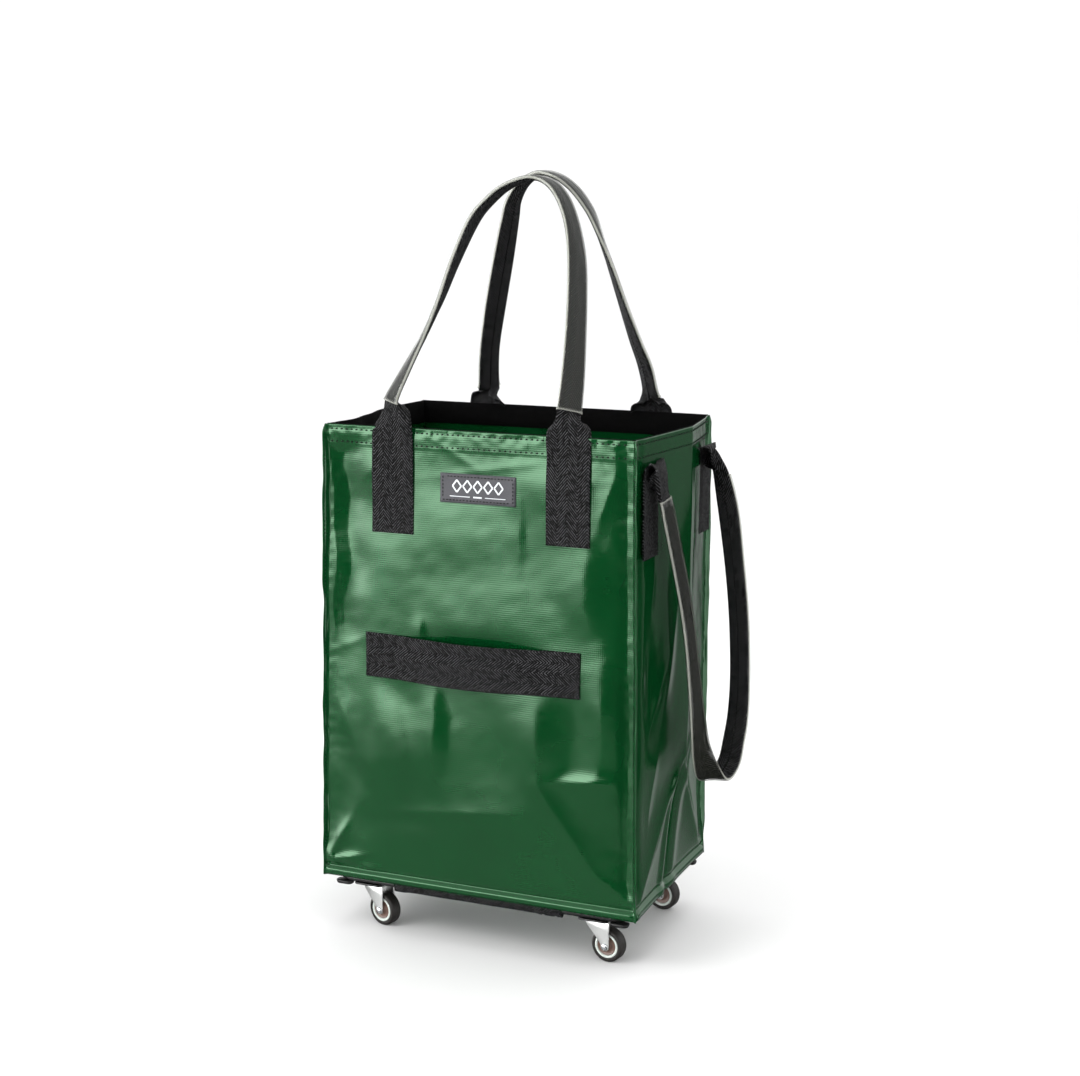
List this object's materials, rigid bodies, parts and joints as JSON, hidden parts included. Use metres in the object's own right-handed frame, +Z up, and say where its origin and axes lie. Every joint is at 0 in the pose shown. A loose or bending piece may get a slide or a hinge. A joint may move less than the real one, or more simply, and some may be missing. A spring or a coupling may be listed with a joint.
{
  "type": "rolling tote trolley",
  "caption": "Tall glossy cloth tote with sleeved webbing handles, sewn to a steel rod frame that rolls on small swivel casters.",
  "frame": {"origin": "on the floor, under the centre of the whole outline with the hanging side handle included", "axes": "+Z up, -Y out of the front panel with the label, +X towards the panel with the side handle"},
  "size_m": [0.4527, 0.269, 0.8604],
  "materials": {
    "green_cloth": "glossy clear film over woven polypropylene tape",
    "board": "matte",
    "black_tape": "matte woven tape",
    "label_leather": "matte grain",
    "black_webbing": "herringbone weave",
    "clear_vinyl": "clear gloss",
    "black_steel": "gloss black paint",
    "black_plastic": "satin",
    "zinc_steel": "zinc plated sheet",
    "tyre": "matte rubber",
    "ring_plastic": "satin",
    "hub_plastic": "satin"
  },
  "bodies": {
    "bag": {"front_panel": "green_cloth", "rear_panel": "green_cloth", "left_panel": "green_cloth", "right_panel": "green_cloth", "bottom_panel": "green_cloth", "base_board": "board", "rim_tape": "black_tape", "label_patch": "label_leather", "front_grab_strap": "black_webbing", "rear_grab_strap": "black_webbing", "front_handle_left_patch": "black_webbing", "front_handle_right_patch": "black_webbing", "rear_handle_left_patch": "black_webbing", "rear_handle_right_patch": "black_webbing", "side_handle_front_patch": "black_webbing", "side_handle_rear_patch": "black_webbing", "frame_loop": "black_steel", "frame_left_bar": "black_steel", "frame_right_bar": "black_steel", "front_frame_sleeve": "black_webbing", "rear_frame_sleeve": "black_webbing", "front_left_corner_pad": "black_plastic", "front_left_caster_plate": "black_steel", "front_right_corner_pad": "black_plastic", "front_right_caster_plate": "black_steel", "rear_left_corner_pad": "black_plastic", "rear_left_caster_plate": "black_steel", "rear_right_corner_pad": "black_plastic", "rear_right_caster_plate": "black_steel"},
    "front_handle": {"front_handle_webbing": "black_webbing", "front_handle_sleeve": "clear_vinyl"},
    "rear_handle": {"rear_handle_webbing": "black_webbing", "rear_handle_sleeve": "clear_vinyl"},
    "side_handle": {"side_handle_webbing": "black_webbing", "side_handle_sleeve": "clear_vinyl"},
    "front_left_caster_swivel": {"front_left_caster_king_pin": "zinc_steel", "front_left_caster_fork": "zinc_steel", "front_left_caster_axle": "zinc_steel"},
    "front_left_caster_wheel": {"front_left_caster_tyre": "tyre", "front_left_caster_wheel_core": "ring_plastic", "front_left_caster_hub": "hub_plastic"},
    "front_right_caster_swivel": {"front_right_caster_king_pin": "zinc_steel", "front_right_caster_fork": "zinc_steel", "front_right_caster_axle": "zinc_steel"},
    "front_right_caster_wheel": {"front_right_caster_tyre": "tyre", "front_right_caster_wheel_core": "ring_plastic", "front_right_caster_hub": "hub_plastic"},
    "rear_left_caster_swivel": {"rear_left_caster_king_pin": "zinc_steel", "rear_left_caster_fork": "zinc_steel", "rear_left_caster_axle": "zinc_steel"},
    "rear_left_caster_wheel": {"rear_left_caster_tyre": "tyre", "rear_left_caster_wheel_core": "ring_plastic", "rear_left_caster_hub": "hub_plastic"},
    "rear_right_caster_swivel": {"rear_right_caster_king_pin": "zinc_steel", "rear_right_caster_fork": "zinc_steel", "rear_right_caster_axle": "zinc_steel"},
    "rear_right_caster_wheel": {"rear_right_caster_tyre": "tyre", "rear_right_caster_wheel_core": "ring_plastic", "rear_right_caster_hub": "hub_plastic"}
  },
  "joints": [
    {"name": "front_handle_fold", "type": "hinge", "parent": "bag", "child": "front_handle", "pos_m": [-0.04, -0.1245, 0.5645], "axis": [1, 0, 0], "range_deg": [0, 150]},
    {"name": "rear_handle_fold", "type": "hinge", "parent": "bag", "child": "rear_handle", "pos_m": [-0.04, 0.1245, 0.5645], "axis": [-1, 0, 0], "range_deg": [0, 150]},
    {"name": "side_handle_lift", "type": "hinge", "parent": "bag", "child": "side_handle", "pos_m": [0.157, 0, 0.551], "axis": [0, -1, 0], "range_deg": [0, 150]},
    {"name": "front_left_caster_turn", "type": "hinge", "parent": "bag", "child": "front_left_caster_swivel", "pos_m": [-0.179, -0.087, 0.045], "axis": [0, 0, 1], "continuous": true},
    {"name": "front_left_wheel_spin", "type": "hinge", "parent": "front_left_caster_swivel", "child": "front_left_caster_wheel", "pos_m": [-0.16939, -0.08976, 0.019], "axis": [0.2756, 0.9613, 0], "continuous": true},
    {"name": "front_right_caster_turn", "type": "hinge", "parent": "bag", "child": "front_right_caster_swivel", "pos_m": [0.099, -0.087, 0.045], "axis": [0, 0, 1], "continuous": true},
    {"name": "front_right_wheel_spin", "type": "hinge", "parent": "front_right_caster_swivel", "child": "front_right_caster_wheel", "pos_m": [0.10892, -0.08822, 0.019], "axis": [0.1219, 0.9925, 0], "continuous": true},
    {"name": "rear_left_caster_turn", "type": "hinge", "parent": "bag", "child": "rear_left_caster_swivel", "pos_m": [-0.179, 0.087, 0.045], "axis": [0, 0, 1], "continuous": true},
    {"name": "rear_left_wheel_spin", "type": "hinge", "parent": "rear_left_caster_swivel", "child": "rear_left_caster_wheel", "pos_m": [-0.16918, 0.08509, 0.019], "axis": [0.1908, 0.9816, 0], "continuous": true},
    {"name": "rear_right_caster_turn", "type": "hinge", "parent": "bag", "child": "rear_right_caster_swivel", "pos_m": [0.099, 0.087, 0.045], "axis": [0, 0, 1], "continuous": true},
    {"name": "rear_right_wheel_spin", "type": "hinge", "parent": "rear_right_caster_swivel", "child": "rear_right_caster_wheel", "pos_m": [0.10892, 0.08578, 0.019], "axis": [0.1219, 0.9925, 0], "continuous": true}
  ]
}
